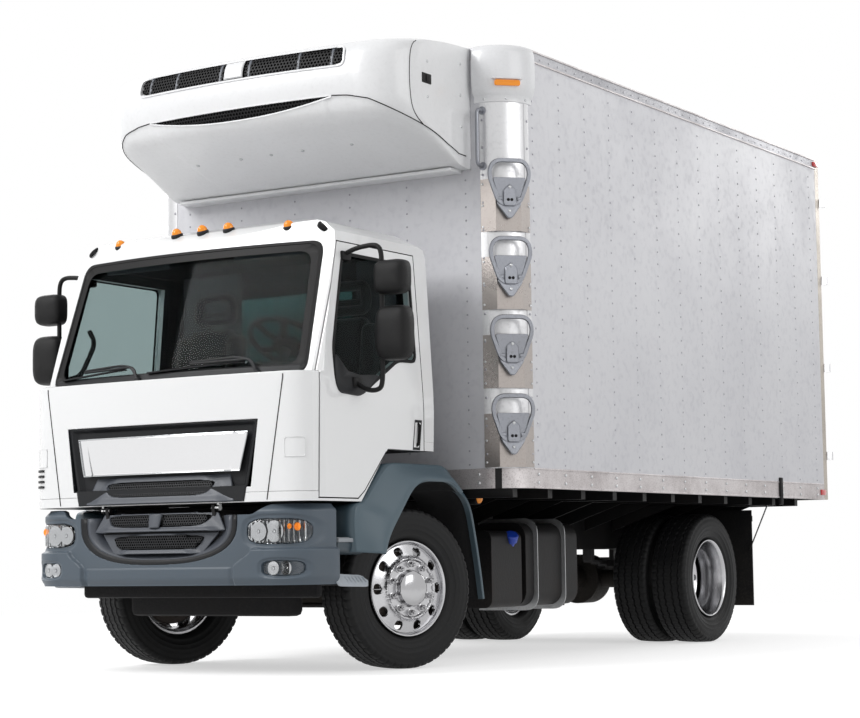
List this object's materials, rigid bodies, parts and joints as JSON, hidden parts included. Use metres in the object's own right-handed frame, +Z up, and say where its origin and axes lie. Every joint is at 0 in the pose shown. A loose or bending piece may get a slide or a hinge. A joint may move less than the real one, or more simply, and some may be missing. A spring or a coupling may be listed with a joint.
{
  "type": "refrigerated truck",
  "caption": "Refrigerated box truck with a tilting forward-control cab, opening doors, steered front wheels, twin rear wheels, swing rear doors and a front-wall cooling unit.",
  "frame": {"origin": "on the ground under the middle of the truck's length and width", "axes": "+Z up, -Y towards the front bumper, +X towards the truck's left side"},
  "size_m": [2.66, 6.16, 3.492],
  "materials": {
    "cab_paint": "gloss white",
    "blue_grey_plastic": "moulded, satin",
    "black_plastic": "moulded, satin",
    "chassis_black": "satin",
    "iron": "rough",
    "spring_steel": "satin",
    "tank_black": "satin",
    "muffler_steel": "dull",
    "lamp_clear": "clear",
    "lamp_red": "clear gloss",
    "step_grey": "textured",
    "flap_rubber": "matte",
    "body_panel": "satin white",
    "aluminium": "brushed",
    "cast_steel": "zinc plated",
    "unit_shell": "moulded gloss",
    "clear_glass": "clear",
    "tinted_glass": "tinted",
    "dash_plastic": "grained",
    "seat_fabric": "woven",
    "tyre": "matte",
    "polished_aluminium": "polished",
    "door_panel": "satin white",
    "floor_mat": "matte"
  },
  "bodies": {
    "chassis": {"chassis_frame": "chassis_black", "front_axle": "iron", "rear_axle": "iron", "leaf_springs": "spring_steel", "drive_shaft": "chassis_black", "engine_block": "iron", "fuel_tank": "tank_black", "battery_box": "tank_black", "exhaust": "muffler_steel", "front_bumper": "blue_grey_plastic", "headlights": "lamp_clear", "front_fenders": "blue_grey_plastic", "entry_steps": "step_grey", "rear_mudflaps": "flap_rubber", "rear_bumper": "chassis_black", "tail_lights": "lamp_red", "body_floor": "aluminium", "body_side_left": "body_panel", "body_side_right": "body_panel", "body_front_wall": "body_panel", "body_roof": "aluminium", "rear_frame": "aluminium", "corner_posts": "aluminium", "folding_steps": "cast_steel", "refrigeration_unit": "unit_shell"},
    "cab": {"cab_floor": "floor_mat", "cab_shell": "cab_paint", "cab_front": "cab_paint", "grille": "black_plastic", "windscreen": "clear_glass", "rear_window": "tinted_glass", "dashboard": "dash_plastic", "seats": "seat_fabric", "wipers": "black_plastic"},
    "steering_wheel": {"steering_wheel": "black_plastic"},
    "door_left": {"door_left": "cab_paint", "door_glass_left": "clear_glass", "mirrors_left": "black_plastic"},
    "door_right": {"door_right": "cab_paint", "door_glass_right": "clear_glass", "mirrors_right": "black_plastic"},
    "knuckle_left": {"knuckle_left": "iron"},
    "knuckle_right": {"knuckle_right": "iron"},
    "tie_rod": {"tie_rod": "iron"},
    "wheel_front_left": {"tyre_front_left": "tyre", "wheel_front_left": "polished_aluminium"},
    "wheel_front_right": {"tyre_front_right": "tyre", "wheel_front_right": "polished_aluminium"},
    "wheel_rear_left": {"tyres_rear_left": "tyre", "wheels_rear_left": "polished_aluminium"},
    "wheel_rear_right": {"tyres_rear_right": "tyre", "wheels_rear_right": "polished_aluminium"},
    "rear_door_left": {"rear_door_left": "door_panel"},
    "rear_door_right": {"rear_door_right": "door_panel"}
  },
  "joints": [
    {"name": "cab_tilt", "type": "hinge", "parent": "chassis", "child": "cab", "pos_m": [0, -3.025, 0.872], "axis": [1, 0, 0], "range_deg": [0, 45]},
    {"name": "door_left_hinge", "type": "hinge", "parent": "cab", "child": "door_left", "pos_m": [0.952, -2.905, 1.2], "axis": [0, 0, -1], "range_deg": [0, 70]},
    {"name": "door_right_hinge", "type": "hinge", "parent": "cab", "child": "door_right", "pos_m": [-0.952, -2.905, 1.2], "axis": [0, 0, 1], "range_deg": [0, 70]},
    {"name": "steer_left", "type": "hinge", "parent": "chassis", "child": "knuckle_left", "pos_m": [0.789, -1.977, 0.434], "axis": [0, 0, 1], "range_deg": [-17, 53]},
    {"name": "steer_right", "type": "hinge", "parent": "chassis", "child": "knuckle_right", "pos_m": [-0.789, -1.977, 0.434], "axis": [0, 0, 1], "range_deg": [-17, 53]},
    {"name": "tie_rod_pivot", "type": "hinge", "parent": "knuckle_left", "child": "tie_rod", "pos_m": [0.83535, -1.83434, 0.34], "axis": [0, 0, 1], "range_deg": [-53, 17]},
    {"name": "steering_wheel_turn", "type": "hinge", "parent": "cab", "child": "steering_wheel", "pos_m": [0.47, -2.52, 1.76], "axis": [0, 0.5299, 0.848], "range_deg": [-340, 1060]},
    {"name": "front_left_spin", "type": "hinge", "parent": "knuckle_left", "child": "wheel_front_left", "pos_m": [0.789, -1.977, 0.434], "axis": [0.9511, -0.309, 0], "continuous": true},
    {"name": "front_right_spin", "type": "hinge", "parent": "knuckle_right", "child": "wheel_front_right", "pos_m": [-0.789, -1.977, 0.434], "axis": [0.9511, -0.309, 0], "continuous": true},
    {"name": "rear_left_spin", "type": "hinge", "parent": "chassis", "child": "wheel_rear_left", "pos_m": [0.907, 1.551, 0.434], "axis": [1, 0, 0], "continuous": true},
    {"name": "rear_right_spin", "type": "hinge", "parent": "chassis", "child": "wheel_rear_right", "pos_m": [-0.907, 1.551, 0.434], "axis": [1, 0, 0], "continuous": true},
    {"name": "rear_door_left_hinge", "type": "hinge", "parent": "chassis", "child": "rear_door_left", "pos_m": [1.312, 3.06, 2.2], "axis": [0, 0, -1], "range_deg": [0, 270]},
    {"name": "rear_door_right_hinge", "type": "hinge", "parent": "chassis", "child": "rear_door_right", "pos_m": [-1.312, 3.06, 2.2], "axis": [0, 0, 1], "range_deg": [0, 270]}
  ],
  "couplings": [
    {"joint": "steer_right", "follows": "steer_left", "ratio": 1},
    {"joint": "tie_rod_pivot", "follows": "steer_left", "ratio": -1},
    {"joint": "steering_wheel_turn", "follows": "steer_left", "ratio": 20}
  ]
}
